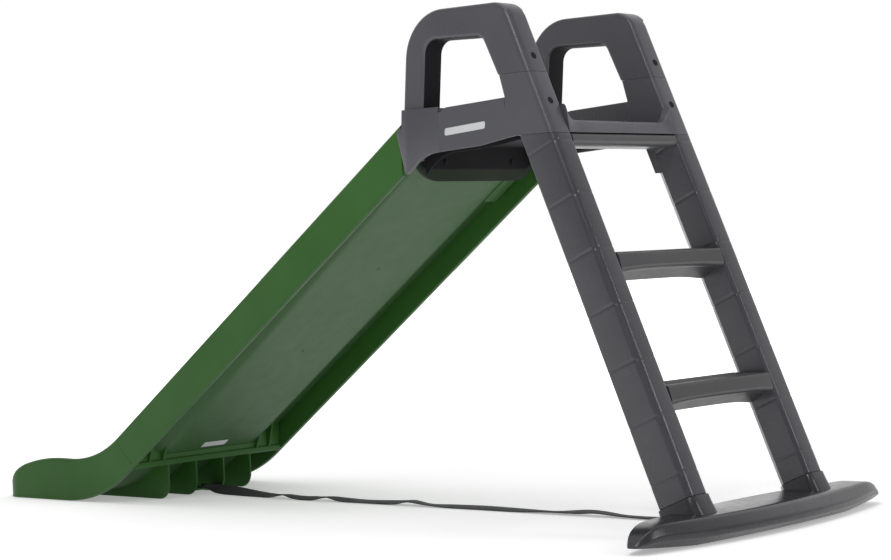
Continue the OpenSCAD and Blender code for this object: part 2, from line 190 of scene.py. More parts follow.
def metal(name, colour, rough):
    """Worn steel, dull and bright in turns."""
    m, nodes, links, bsdf = new_material(name)
    at = nodes.new("ShaderNodeTexCoord").outputs["Object"]
    bsdf.inputs["Metallic"].default_value = 0.8
    worn = [min(1.0, c * 2.5 + 0.05) for c in colour[:3]] + [1.0]
    links.new(mix(nodes, links, ramp(nodes, links, noise(nodes, links, at, 300.0), ((0.5, 0.0), (0.8, 0.7))),
                  colour, worn), bsdf.inputs["Base Color"])
    links.new(ramp(nodes, links, noise(nodes, links, at, 120.0), ((0.3, rough - 0.1), (0.7, rough + 0.15))),
              bsdf.inputs["Roughness"])
    return m


# Its below colour is a painted reflection: the chute's underside is painted paler
GREEN = plastic("green_plastic", rgb(45, 89, 33), rough=0.40, worn=0.12, specular=0.18, below=rgb(59, 88, 54))
# Painted shade: a dark green for the cross flange, which lies in shadow under the deck
GREEN_PAINTED_SHADE = plastic("green_plastic_painted_shade", rgb(31, 41, 28), rough=0.5, worn=0.06, specular=0.2)
GREY = plastic("grey_plastic", rgb(71, 71, 76), rough=0.30, worn=0.08)
# Painted shade: a dark grey for faces under the deck, inside the grips' openings, in the screw holes and on
# the screws under the deck
GREY_PAINTED_SHADE = plastic("grey_plastic_painted_shade", rgb(33, 33, 35), rough=0.6, worn=0.05, specular=0.05)
GREY_GRIP = plastic("grey_grip_plastic", rgb(68, 68, 73), rough=0.30, worn=0.08)
GREY_RAIL = plastic("grey_rail_plastic", rgb(58, 58, 63), rough=0.27, worn=0.08)
GREY_FOOT = plastic("grey_foot_plastic", rgb(46, 46, 50), rough=0.24, worn=0.08)
GREY_STEP = plastic("grey_step_plastic", rgb(55, 55, 57), rough=0.36, worn=0.14, grain=0.5)
FILM = plastic("pale_film", rgb(196, 197, 198), rough=0.5, worn=0.0, grain=0.1)
STRAP = webbing("black_webbing", rgb(30, 30, 36))
STEEL = metal("dark_steel", rgb(52, 52, 54), rough=0.4)


# ---------------------------------------------------------------- shapes
def fillet(a, b, c, r, n):
    """Points round the corner at b, between a and c, with radius r."""
    if r <= 0:
        return [b]
    u, w = (a - b) / np.linalg.norm(a - b), (c - b) / np.linalg.norm(c - b)
    half = math.acos(np.clip(u @ w, -1, 1)) / 2
    if half > math.pi / 2 - 0.01:
        return [b]
    t = r / math.tan(half)
    m = b + (u + w) / np.linalg.norm(u + w) * (r / math.sin(half))
    s, e = b + u * t - m, b + w * t - m
    a0, turn = math.atan2(s[1], s[0]), math.atan2(e[1], e[0]) - math.atan2(s[1], s[0])
    turn = (turn + math.pi) % (2 * math.pi) - math.pi
    angles = [a0 + turn * i / n for i in range(n + 1)]
    return [m + r * np.array([math.cos(t), math.sin(t)]) for t in angles]


def smooth(points, radii, n=8):
    """An outline with its corners rounded: radii[i] is the fillet at points[i]."""
    p = [np.array(q, float) for q in points]
    out = []
    for i, r in enumerate(radii):
        out += fillet(p[i - 1], p[i], p[(i + 1) % len(p)], r, n)
    return np.array(out)


def dense(outline, step):
    """The same outline with long edges split, so that its faces shade evenly."""
    out = []
    for a, b in zip(outline, np.roll(outline, -1, axis=0)):
        n = max(1, int(np.linalg.norm(b - a) / step))
        out += [a + (b - a) * i / n for i in range(n)]
    return np.array(out)


def inward(outline):
    """For each point of an outline, the way in that keeps an inset's edges parallel to it."""
    before, after = outline - np.roll(outline, 1, axis=0), np.roll(outline, -1, axis=0) - outline
    area = (outline[:, 0] * np.roll(outline[:, 1], -1) - np.roll(outline[:, 0], -1) * outline[:, 1]).sum()
    turn = 1.0 if area > 0 else -1.0

    def normal(e):
        return turn * np.stack([-e[:, 1], e[:, 0]], 1) / np.linalg.norm(e, axis=1, keepdims=True)

    a, b = normal(before), normal(after)
    return (a + b) / np.maximum(1 + (a * b).sum(1, keepdims=True), 0.4)


def set_creases(bm, sharp):
    """Smooth shading, with creases at edges sharper than that angle and on faces of many sides."""
    for f in bm.faces:
        f.smooth = len(f.verts) <= 4
    for e in bm.edges:
        e.smooth = len(e.link_faces) == 2 and e.calc_face_angle(0.0) < math.radians(sharp)


def add_mesh(name, verts, faces, material, sharp=35.0):
    """A mesh piece from points in millimetres, that rides on the root body."""
    bm = bmesh.new()
    vs = [bm.verts.new(Vector(v) * MM) for v in verts]
    for f in faces:
        bm.faces.new([vs[i] for i in f])
    bmesh.ops.recalc_face_normals(bm, faces=bm.faces)
    set_creases(bm, sharp)
    mesh = bpy.data.meshes.new(name)
    bm.to_mesh(mesh)
    bm.free()
    mesh.materials.append(material)
    o = bpy.data.objects.new(name, mesh)
    bpy.context.scene.collection.objects.link(o)
    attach(o, "root")
    return o


def shade(o, material, test):
    """Give another material to the faces whose middle (in millimetres) and normal pass the test."""
    o.data.materials.append(material)
    for face in o.data.polygons:
        if test(face.center / MM, face.normal):
            face.material_index = len(o.data.materials) - 1


def loft(rings):
    """Points and faces of a skin through closed rings of equal length, capped at both ends."""
    n, verts, faces = len(rings[0]), [p for r in rings for p in r], []
    for k in range(len(rings) - 1):
        for i in range(n):
            j = (i + 1) % n
            faces.append((k * n + i, k * n + j, (k + 1) * n + j, (k + 1) * n + i))
    return verts, faces + [tuple(range(n))[::-1], tuple(range((len(rings) - 1) * n, len(rings) * n))]


def slab(outline, y0, y1, edge, steps=5):
    """An X-Z outline carried from y0 to y1 with rounded edges. edge(x, z) gives its fillets at y0 and y1."""
    way, radii = inward(outline), np.array([edge(x, z) for x, z in outline], float)
    rings = []
    for end, y, out in ((0, y0, -1), (1, y1, 1)):
        r = radii[:, end]
        edge_rings = []
        for inset in (1.0, 0.4):
            p = outline + way * (r + inset)[:, None]
            edge_rings.append([(a, y, b) for a, b in p])
        for i in range(steps + 1):
            t = math.pi / 2 * i / steps
            p = outline + way * (r * (1 - math.sin(t)))[:, None]
            depth = y - out * r * (1 - math.cos(t))
            edge_rings.append([(p[i, 0], depth[i], p[i, 1]) for i in range(len(p))])
        rings += edge_rings if end == 0 else edge_rings[::-1]
    return loft(rings)


def trim(o, z, keep_above, from_x=None, sharp=35.0):
    """o cut level at height z and closed there; with from_x, only its part beyond that x is cut."""
    bm = bmesh.new()
    bm.from_mesh(o.data)
    if from_x is not None:
        everything = bm.verts[:] + bm.edges[:] + bm.faces[:]
        bmesh.ops.bisect_plane(bm, geom=everything, plane_co=(from_x * MM, 0, 0), plane_no=(1, 0, 0),
                               dist=1e-7)
    picked = [f for f in bm.faces if from_x is None or f.calc_center_median().x > from_x * MM]
    edges = {e for f in picked for e in f.edges}
    verts = {v for f in picked for v in f.verts}
    bmesh.ops.bisect_plane(bm, geom=list(verts) + list(edges) + picked, plane_co=(0, 0, z * MM),
                           plane_no=(0, 0, -1 if keep_above else 1), clear_outer=True, dist=1e-7)
    rim = [e for e in bm.edges if e.is_boundary]
    bmesh.ops.holes_fill(bm, edges=rim, sides=0)
    bmesh.ops.recalc_face_normals(bm, faces=bm.faces)
    set_creases(bm, sharp)
    bm.to_mesh(o.data)
    bm.free()


def block(name, lo, hi, material, bevel=1.0):
    """A rounded block between two corners."""
    (x0, y0, z0), (x1, y1, z1) = lo, hi
    r = min(bevel, (x1 - x0) / 2.1, (z1 - z0) / 2.1, (y1 - y0) / 2.1)
    outline = smooth([(x0, z0), (x1, z0), (x1, z1), (x0, z1)], [r] * 4, 4)
    verts, faces = slab(outline, y0, y1, lambda x, z: (r * 0.98, r * 0.98), 4)
    add_mesh(name, verts, faces, material)


# ---------------------------------------------------------------- sizes shared with the CAD
OUT_Y, IN_Y, WALL_Y = 169.0, 127.0, 174.0
RAIL_D, LEAN = 61.0, math.radians(22.4)
RAIL_CUT = 13.0                      # how far a rail's inner front corner is cut back
SCREW_Z = (697.0, 629.0)              # heights of the screws in the backs of the grips and posts
HALF_L, FOOT_X = 816.0, 756.0
RAIL_X0, RAIL_HX = FOOT_X - 39.7, RAIL_D / math.cos(LEAN)
SEAM_Z, SPLIT_Z, TOP_Z, DECK_Z = 581.0, 673.0, 783.0, 592.0
STEP_Z = {"step_lower": 213.0, "step_upper": 403.0}
FLOOR_GAP = 40.4
SLOPE, WALL_H, WALL_T, SKIN = math.radians(34.74), 65.7, 8.0, 3.0
FLARE, TROUGH_D, SIDE_TAN = 12.0, 48.5, math.tan(math.radians(30.75))
LIP_X, PLATE_X, TOP_X = -HALF_L, -436.0, 244.0
LIP_R = 50.0                         # the lip's rounding in plan
FRONT_X, COLLAR_Z = 240.0, 636.0      # the deck's front, and the top of the collar round a grip's front leg


def rail_front(z):
    return RAIL_X0 - math.tan(LEAN) * z


def rail_back(z):
    return rail_front(z) + RAIL_HX


# ---------------------------------------------------------------- chute
def wall_line(x):
    """Height of the straight part of a wall's top edge."""
    return 357.5 + (x + 128) * math.tan(SLOPE)


def line_x(z, lower):
    """Where a line that far below the wall's top edge is at height z."""
    return -128 + (z - 357.5 + lower) / math.tan(SLOPE)


def run(points, radii):
    """A path as arrays of increasing x and its z, for looking heights up."""
    p = smooth(points, radii, 14)
    order = np.argsort(p[:, 0])
    return p[order, 0], p[order, 1]


def height(path, x):
    return float(np.interp(x, *path))


LOW_V, SKIN_V = WALL_H / math.cos(SLOPE), SKIN / math.cos(SLOPE)
FLOOR_TAN = math.tan(SLOPE) + 13.5 / (TOP_X - PLATE_X)
FLOOR_Z0 = wall_line(PLATE_X) - TROUGH_D - 13.5


def floor_line(x):
    """Height of the straight part of the trough's floor, underneath."""
    return FLOOR_Z0 + (x - PLATE_X) * FLOOR_TAN


wall_top = run([(TOP_X, wall_line(TOP_X)), (line_x(74.5, 0), 74.5), (-687, 77.5), (-773, 56), (LIP_X, 10)],
               [0, 230, 400, 110, 0])
wall_low = run([(TOP_X, wall_line(TOP_X) - LOW_V), (line_x(0, LOW_V), 0), (LIP_X, 0)], [0, 300, 0])
floor_low = run([(TOP_X, floor_line(TOP_X)), (PLATE_X + (13 - FLOOR_Z0) / FLOOR_TAN, 13), (-786, 13),
                 (LIP_X + 8, -4), (LIP_X, -12)], [0, 230, 22, 0, 0])


def flare(x):
    """How far each wall has widened out at x, going down."""
    return FLARE * min(1.0, max(0.0, (236 - x) / (236 - LIP_X)))


def half_width(x):
    """Half the chute's width at x, with its lip rounded in plan."""
    nose = max(0.0, LIP_X + LIP_R - x)
    return WALL_Y + flare(x) - LIP_R + math.sqrt(max(LIP_R**2 - nose**2, 0.0))


def under(x, y, soft=0.7):
    """Height of the trough's underside: a flat floor with leaning sides."""
    floor = height(floor_low, x)
    side = height(wall_top, x) - TROUGH_D + SIDE_TAN * (abs(y) - 122 - flare(x))
    return (floor + side) / 2 + math.sqrt(((floor - side) / 2)**2 + soft**2)


def chute_section(x):
    """One cross-section of the chute at x, as a ring of points."""
    w, h, low, bead = half_width(x), height(wall_top, x), height(wall_low, x), 12.0
    # Fractions of the half width, closer together where the floor turns up
    spread = [0, 0.25, 0.45, 0.56, 0.62, 0.66, 0.69, 0.72, 0.76, 0.82, 0.9, 1.0]

    def top(y):
        return max(min(under(x, y, 2.0) + SKIN_V, h - 0.8), 1.2)

    y_in, b = w - bead, top(w - bead)
    rim, rf = min(bead / 2, max(0.2, (h - b) * 0.5)), max(0.1, min(6.0, (h - b) * 0.3))
    ring = [(y_in * k, top(y_in * k)) for k in spread[:-1]]
    ring += [(y_in - rf + rf * math.sin(a), b + rf - rf * math.cos(a))
             for a in np.linspace(0.5, math.pi / 2, 4)]
    ring += [(w - bead / 2 - bead / 2 * math.cos(a), h - rim + rim * math.sin(a))
             for a in np.linspace(0, math.pi, 12)]
    # Outer face, with a slim bead along its lower edge
    tall = max(h - rim - low, 0.5)
    hem = min(4.5, tall * 0.3)
    ring += [(w, low + hem + (tall - hem) * k) for k in (0.8, 0.6, 0.4, 0.2, 0.04)]
    ring += [(w + 0.7 - 0.7 * math.cos(a), low + hem * (1 - a / math.pi / 1.2))
             for a in np.linspace(0.6, 2.6, 5)]
    ring += [(w - 0.6, low + 0.2), (w - 2.4, low), (w - WALL_T + 2, low), (w - WALL_T + 0.5, low + 0.6)]
    yb = w - WALL_T
    top_in = max(under(x, yb), low + 1.0)
    top_in = min(top_in, h - 0.6)
    gap = max(top_in - low - 0.6, 0.1)
    ring += [(yb, low + 0.6 + gap * k) for k in (0.15, 0.5, 0.85)]
    ring += [(yb * k, min(max(under(x, yb * k), low + 0.5), top(yb * k) - 0.3)) for k in spread[::-1][1:]]
    back = [(-y, z) for y, z in ring[1:-1][::-1]]
    return [(x, y, max(z, 0.0)) for y, z in ring + back]


def cross_sheet(name, x0, x1, z_low, w, r, material):
    """A sheet across the chute, from z_low up into the trough's underside, with rounded lower corners."""
    rings = []
    for y in w * np.sin(np.linspace(-math.pi / 2, math.pi / 2, 49)):
        near = max(0.0, abs(y) - (w - r))
        low, high = z_low + r - math.sqrt(max(r * r - near * near, 0.0)), under((x0 + x1) / 2, y) + 1.2
        rings.append([(x0, y, low), (x1, y, low), (x1, y, high), (x0, y, high)])
    verts, faces = loft(rings)
    add_mesh(name, verts, faces, material)


def build_chute():
    xs = sorted({*np.linspace(LIP_X + 0.05, LIP_X + 12, 10), *np.linspace(LIP_X + 12, -440, 70),
                 *np.linspace(-440, TOP_X - 0.5, 26)})
    verts, faces = loft([chute_section(x) for x in xs])
    chute = add_mesh("chute_shell", verts, faces, GREEN, sharp=28)
    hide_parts("chute")
    # Ribs that carry the end on the floor
    top = [(x, height(floor_low, x) + 1) for x in np.linspace(LIP_X + 24, PLATE_X - 2, 50)]
    foot = fillet(np.array((PLATE_X - 90, 0.0)), np.array((PLATE_X, 0.0)), np.array((PLATE_X, 66.0)), 27, 8)
    outline = np.array([(LIP_X + 24, 0.0)] + [tuple(p) for p in foot] + [(PLATE_X, 66.0)] + top[::-1])
    for k, y in enumerate((-97.5, -32.5, 32.5, 97.5)):
        verts, faces = slab(outline, y - 1.7, y + 1.7, lambda x, z: (0.6, 0.6), 3)
        add_mesh(f"chute_rib_{k + 1}", verts, faces, GREEN)
    # Cross plate between ribs and floor, with its bead and small gussets
    w = half_width(PLATE_X) - WALL_T + 1
    cross_sheet("chute_cross_plate", PLATE_X - 5, PLATE_X, 62, w, 0, GREEN)
    block("chute_bead", (PLATE_X - 5, -w, 62), (PLATE_X + 3, w, 73), GREEN, 2.2)
    for k, y in enumerate((-143, -112, 112, 143)):
        reach = under(PLATE_X + 12, y)
        tri = smooth([(PLATE_X - 1, 70), (PLATE_X + 5, 71), (PLATE_X + 7, 78), (PLATE_X + 18, reach + 7),
                      (PLATE_X - 1, reach - 6)], [0, 2, 4, 0, 0], 5)
        verts, faces = slab(tri, y - 1.5, y + 1.5, lambda x, z: (0.5, 0.5), 3)
        add_mesh(f"chute_gusset_{k + 1}", verts, faces, GREEN)
    # Cross flange at the top, in the dark green of painted shade, as it lies in shadow under the deck
    cross_sheet("chute_flange", 238.0, 243.6, 527, 149, 57, GREEN_PAINTED_SHADE)
    # Pads under the trough's sides
    for name, s in SIDES:
        rings = []
        for x in (142.5, 143.5, 170, 200, 239):
            g = 1.0 if x == 142.5 else 0.0
            z0, z1 = height(floor_low, x) + 2 + g, under(x, 158) + 1
            ring = smooth([(128 + g, z0), (158 - g, z0), (158 - g, z1), (128 + g, under(x, 128) + 1)],
                          [2, 2, 0, 0], 4)
            rings.append([(x, s * y, z) for y, z in ring])
        verts, faces = loft(rings)
        add_mesh(f"chute_pad_{name}", verts, faces, GREEN)
    # Seat of the strap between the two middle ribs
    block("chute_strap_seat", (PLATE_X - 34, -32.5, 8), (PLATE_X - 4, 32.5, 12), GREEN)
    # Moulding marks under the floor
    for k, (x, y) in enumerate(((1, 13), (-191, 12))):
        z, rings = height(floor_low, x), []
        for r, dz in ((3.4, 0.4), (3.1, -0.5), (2.4, -0.9), (1.6, -0.5), (0.5, -0.4)):
            rings.append([(x + r * math.cos(a), y + r * math.sin(a), z + r * math.cos(a) * FLOOR_TAN + dz)
                          for a in np.linspace(0, 2 * math.pi, 17)[:-1]])
        verts, faces = loft(rings)
        add_mesh(f"chute_gate_mark_{k + 1}", verts, faces, GREEN)
    # Fine mould line across the outside of each wall
    for name, s in SIDES:
        a, b = Vector((-471, 0, 106)), Vector((-436, 0, 70))
        along = (b - a).normalized()
        side = Vector((along.z, 0, -along.x)) * 0.7
        verts = []
        for out in (-0.3, 0.35):
            for p in (a - side, a + side, b + side, b - side):
                verts.append((p.x, s * (half_width(p.x) + out), p.z))
        faces = [(0, 1, 2, 3), (7, 6, 5, 4)] + [(i, (i + 1) % 4, 4 + (i + 1) % 4, 4 + i) for i in range(4)]
        add_mesh(f"chute_mould_line_{name}", verts, faces, GREEN)


# ---------------------------------------------------------------- deck
def at_back(x, z):
    """Whether a point is on the back face of a post or grip."""
    return x > rail_back(z) - 2.5


def side_faces(s, y_in, y_out):
    """y0 and y1 of a slab on side s that runs from y_in to y_out away from the middle."""
    return (-y_out, -y_in) if s < 0 else (y_in, y_out)


def sided(s, outer, inner):
    """Fillets as slab wants them, from those of the outer and the inner face."""
    return (lambda x, z: (outer(x, z), inner(x, z))) if s < 0 else (lambda x, z: (inner(x, z), outer(x, z)))


def at_joint(x, z):
    """Whether a point of a side panel's outline is where its skins, strip and post meet."""
    low, high = 580.9 if x > 440 else 596, 597.5 if x < 302 else 616.5
    under_strip = FRONT_X + 5.9 < x < 470.5 and low < z < high
    strip_end = abs(x - STRIP_END[0]) < 0.3 and 615 < z < 638
    return under_strip or strip_end


def painted_hole_shade(name, z, s):
    """Painted shade for the screw hole in the back of a grip or post at height z: a dark disc over its mouth.
    """
    rings = []
    for r, out in ((5.5, -1.0), (5.5, 0.15), (5.0, 0.4), (4.2, 0.2)):
        ring = []
        for a in np.linspace(0, 2 * math.pi, 33)[:-1]:
            up = r * math.sin(a)
            x = rail_back(z) - up * math.sin(LEAN) + out * math.cos(LEAN)
            y = s * (IN_Y + OUT_Y) / 2 + r * math.cos(a)
            ring.append((x, y, z + up * math.cos(LEAN) + out * math.sin(LEAN)))
        rings.append(ring)
    verts, faces = loft(rings)
    add_mesh(name, verts, faces, GREY_PAINTED_SHADE)


# Outlines in X and Z of a side panel: the top of its hollow part, its lower edge and the foot of its post
STRIP_END = (452, 616)
POCKET = [(470, SEAM_Z), (461, 586), STRIP_END, (335, 612), (304, 604), (299, 597), (FRONT_X + 6, 597)]
PANEL_LOW = [(400, 571), (300, 566.5), (274, 554), (254, 536.5)]
STRIP_TOP = [(FRONT_X + 6, 603), (FRONT_X + 7, COLLAR_Z), (302, COLLAR_Z), (303, 621), (334, 634), (452, 639)]
BACK_R, BACK_R_IN, EDGE_R, JOINT_R = 11.0, 7.0, 2.6, 0.01


def build_post(name, s):
    """The post above a rail, with the painted shade of its screw hole."""
    above, below = SPLIT_Z + 30, SEAM_Z - 30
    outline = dense(smooth([
        (452, 639), (443, SPLIT_Z), (rail_front(above) + 8, above), (rail_back(above), above),
        (rail_back(below), below), (480, below), *POCKET[:3]], [5, 0, 0, 0, 0, 0, 0, 4, 0], 8), 14)
    soft = [lambda x, z, r=r: JOINT_R if at_joint(x, z) else r if at_back(x, z) else EDGE_R
            for r in (BACK_R, BACK_R_IN)]
    verts, faces = slab(outline, *side_faces(s, IN_Y, OUT_Y), sided(s, *soft), 6)
    post = add_mesh(f"deck_post_{name}", verts, faces, GREY)
    trim(post, SPLIT_Z - 0.25, False)
    trim(post, SEAM_Z + 0.25, True)
    # Painted shade in the screw hole
    painted_hole_shade(f"post_recess_{name}", SCREW_Z[1], s)


def build_panel(name, s):
    """A side panel: its solid strip, and below it the skins of its hollow part down to its lower edge."""
    def soft(r):
        return lambda x, z: (JOINT_R, JOINT_R) if at_joint(x, z) else (r, r)

    outline = dense(smooth(STRIP_TOP + POCKET[2:], [0, 4, 0, 2, 6, 0, 0, 6, 4, 3, 0], 8), 14)
    verts, faces = slab(outline, *side_faces(s, IN_Y, OUT_Y), soft(EDGE_R), 6)
    add_mesh(f"deck_panel_{name}", verts, faces, GREY)
    outline = dense(smooth(POCKET[::-1] + PANEL_LOW, [0, 3, 4, 6, 0, 4, 0, 200, 50, 60, 1], 8), 10)
    verts, faces = slab(outline, *side_faces(s, OUT_Y - SKIN, OUT_Y), soft(1.2), 3)
    add_mesh(f"deck_skin_outer_{name}", verts, faces, GREY)
    # Below the deck the inner skin gets painted shade; above it, plain grey
    verts, faces = slab(outline, *side_faces(s, IN_Y, IN_Y + SKIN), soft(1.2), 3)
    for part, material, keep_above in (("inner", GREY_PAINTED_SHADE, False), ("upper", GREY, True)):
        skin = add_mesh(f"deck_skin_{part}_{name}", verts, faces, material)
        trim(skin, DECK_Z - 2, keep_above)


def build_front_end(name, s):
    """The front end of a panel, which flares out over the chute's wall, and the wall behind the flange."""
    base_y = OUT_Y - SKIN + 0.4
    rings = []
    for x in (239.3, 240, 242, 245, 248, 250, 250.6, 251.3, 252, 254, 259, 262, 268, 274, 282, 290, 300, 310,
              319):
        low = float(np.interp(x, [239.3, 240, 254, 260, 267, 274, 283, 300, 319],
                              [601, 595, 537.5, 542, 548, 554, 560, 565.5, 567.6]))
        top = float(np.interp(x, [239.3, 250, 252, 319], [603, 610, COLLAR_Z, COLLAR_Z]))
        out = float(np.interp(x, [239.3, 241, 262, 319], [WALL_Y + 3.2, WALL_Y + 4, WALL_Y + 4, OUT_Y + 0.1]))
        r = min(2.2, (top - low) / 2.2, (out - base_y) * 0.6)
        section = smooth([(base_y, low), (out, low), (out, top), (base_y, top)], [0, r, r, 0], 5)
        rings.append([(x, s * y, z) for y, z in section])
    verts, faces = loft(rings)
    add_mesh(f"deck_front_{name}", verts, faces, GREY)
    y0, y1 = side_faces(s, IN_Y + 1, OUT_Y - 1)
    block(f"deck_front_wall_{name}", (FRONT_X + 5, y0, 558), (FRONT_X + 9, y1, 600), GREY)


def build_deck():
    for name, s in SIDES:
        build_post(name, s)
        build_panel(name, s)
        build_front_end(name, s)
    # Deck with its raised back edge
    back, seam_back, lowest = rail_back(DECK_Z), rail_back(SEAM_Z), SEAM_Z + 0.25
    deck = dense(smooth([
        (TOP_X + 0.5, DECK_Z - 12), (TOP_X + 0.5, DECK_Z), (back - 26, DECK_Z), (back - 18, 600),
        (rail_back(600) - 1, 600), (seam_back - 1, lowest), (seam_back - 22, lowest),
        (seam_back - 26, DECK_Z - 12)], [2, 5, 5, 5, 7, 1, 0, 0], 6), 16)
    rings = []
    for y in np.linspace(-IN_Y - 2, IN_Y + 2, 49):
        near = max(0.0, abs(y) - (IN_Y - 26)) / 26
        lift = 24 * (1 - math.sqrt(max(0.0, 1 - min(near, 1.0)**2)))
        rings.append([(x, y, z + (lift if z > 594 and x > back - 40 else 0.0)) for x, z in deck])
    verts, faces = loft(rings)
    plate = add_mesh("deck_plate", verts, faces, GREY)
    # Painted shade on the deck's underside: faces facing down get the dark grey
    shade(plate, GREY_PAINTED_SHADE, lambda c, n: n.z < -0.5)
    # Skirt across the front, with rounded lower corners
    skirt = smooth([(-IN_Y - 1, 545), (IN_Y + 1, 545), (IN_Y + 1, DECK_Z - 4), (-IN_Y - 1, DECK_Z - 4)],
                   [16, 16, 0, 0], 8)
    depths = ((TOP_X + 0.2, 0.8), (TOP_X + 1, 0.0), (TOP_X + 4.6, 0.0), (TOP_X + 6, 1.4))
    verts, faces = loft([[(x, y * (1 - g / (IN_Y + 1)), z + (g if z < 570 else 0)) for y, z in skirt]
                         for x, g in depths])
    front = add_mesh("deck_skirt", verts, faces, GREY)
    # Painted shade on all of the skirt but its front face
    shade(front, GREY_PAINTED_SHADE, lambda c, n: n.x > -0.5)
    # Low grip ribs on the deck
    for k in range(9):
        x = 282 + 24 * k
        block(f"deck_tread_{k + 1}", (x, -104, DECK_Z - 1), (x + 7, 104, DECK_Z + 1.4), GREY,
              1.1)
    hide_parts("platform")


# ---------------------------------------------------------------- grips
def in_opening(c, n):
    """Whether a face with middle c and normal n looks into a grip's opening from its front or its top; such
    faces get painted shade.
    """
    return 285 < c.x < 420 and c.z < TOP_Z - 40 and abs(n.y) < 0.5 and n.x - n.z > 0.3


def build_grips():
    foot = SPLIT_Z - 40
    outline = dense(smooth([
        (245.7, 624), (263, TOP_Z + 1.4), (rail_back(TOP_Z - 3), TOP_Z - 3), (rail_back(foot), foot),
        (457, foot), (440, SPLIT_Z), (412.5, TOP_Z - 50), (299, TOP_Z - 44.5), (288.5, 640), (287, 624)],
        [0, 76, 38, 0, 0, 0, 16, 22, 0, 0], 16), 12)
    soft = [lambda x, z, r=r: r if at_back(x, z) else 5.0 for r in (BACK_R, BACK_R_IN)]
    for name, s in SIDES:
        verts, faces = slab(outline, *side_faces(s, IN_Y, OUT_Y), sided(s, *soft), 7)
        grip = add_mesh(f"grip_body_{name}", verts, faces, GREY_GRIP)
        trim(grip, SPLIT_Z + 0.25, True, 380)
        trim(grip, COLLAR_Z, True)
        # Painted shade inside the opening
        shade(grip, GREY_PAINTED_SHADE, in_opening)
        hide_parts(f"grip_{name}")
        # Painted shade in the screw hole
        painted_hole_shade(f"grip_recess_{name}", SCREW_Z[0], s)


# ---------------------------------------------------------------- ladder
def rail_ring(g, s):
    """A rail's section, g inside its outline: points (across the depth, y)."""
    c = RAIL_CUT - 0.59 * g
    ring = smooth([(g + c, IN_Y + g), (g, IN_Y + g + c), (g, OUT_Y - g), (RAIL_D - g, OUT_Y - g),
                   (RAIL_D - g, IN_Y + g)], [max(r - g, 0.3) for r in (3, 3, 5, BACK_R, BACK_R_IN)], 6)
    return [(u, s * v) for u, v in ring]


def on_rail(u, y, t):
    """A point u across a rail's depth and t up its length from the floor."""
    return (RAIL_X0 + u * math.cos(LEAN) - t * math.sin(LEAN), y, u * math.sin(LEAN) + t * math.cos(LEAN))


def build_rails():
    for name, s in SIDES:
        start, end = FLOOR_GAP / math.cos(LEAN), 700.0
        stations = [(start, 0.8), (start + 0.8, 0.0), (start + 3, 0.0)]
        # Fine grooves round the rail, one every 79 mm of height
        pitch = 79 / math.cos(LEAN)
        t = start + 36
        while t < 640:
            stations += [(t + dt, groove) for dt, groove in
                         ((-5, 0.0), (-2.2, 0.0), (-0.8, 0.32), (0.8, 0.32), (2.2, 0.0), (5, 0.0))]
            t += pitch
        stations.append((end, 0.0))
        rings = [[on_rail(u, y, t) for u, y in rail_ring(g, s)] for t, g in stations]
        verts, faces = loft(rings)
        rail = add_mesh(f"rail_body_{name}", verts, faces, GREY_RAIL)
        trim(rail, SEAM_Z - 0.25, False, sharp=28)
        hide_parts(f"rail_{name}")
        # Squared corner under the deck
        c = RAIL_CUT + 1.5
        corner = smooth([(0, IN_Y), (c, IN_Y), (c, IN_Y + 2), (2, IN_Y + c), (0, IN_Y + c)],
                        [1, 0, 0, 0, 1], 3)
        low, high = [], []
        for u, y in corner:
            for z, ends in ((523, low), (SEAM_Z - 0.3, high)):
                ends.append(on_rail(u, s * y, (z - u * math.sin(LEAN)) / math.cos(LEAN)))
        verts, faces = loft([low, high])
        add_mesh(f"rail_corner_{name}", verts, faces, GREY_RAIL)


def build_steps():
    for node, z in STEP_Z.items():
        profile = smooth([
            (rail_front(z) + 2, z), (rail_back(z) + 1, z), (rail_back(z - 30) - 3, z - 30),
            (rail_back(z - 30) - 22, z - 31), (rail_front(z - 46) + 12, z - 46),
            (rail_front(z - 46) + 2, z - 46)], [4, 6, 8, 8, 4, 3], 6)
        rings = []
        for y in np.linspace(-IN_Y + 0.1, IN_Y - 0.1, 33):
            arch = 4.5 * (1 - (y / IN_Y)**4)
            rings.append([(x, y, zz + arch * min(1.0, max(0.0, (z - 8 - zz) / 20))) for x, zz in profile])
        verts, faces = loft(rings)
        step = add_mesh(f"{node}_tread", verts, faces, GREY_STEP)
        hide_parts(node)
        for k in range(4):
            x = rail_front(z) + 12 + 13 * k
            block(f"{node}_ridge_{k + 1}", (x, -112, z - 1), (x + 4, 112, z + 1.0), GREY_STEP,
                  0.9)
    bar = dense(smooth([
        (rail_front(578) + 6, SEAM_Z - 0.25), (rail_back(578) - 2, SEAM_Z - 0.25), (rail_back(561) - 2, 561),
        (rail_front(561) + 6, 561)], [2, 9, 9, 2], 8), 12)
    verts, faces = slab(bar, -IN_Y + 0.1, IN_Y - 0.1, lambda x, z: (0, 0), 1)
    bar = add_mesh("top_crossbar_body", verts, faces, GREY_STEP)
    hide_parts("top_crossbar")


# ---------------------------------------------------------------- foot bar
FOOT_HALF, FOOT_H = 306.0, 38.0


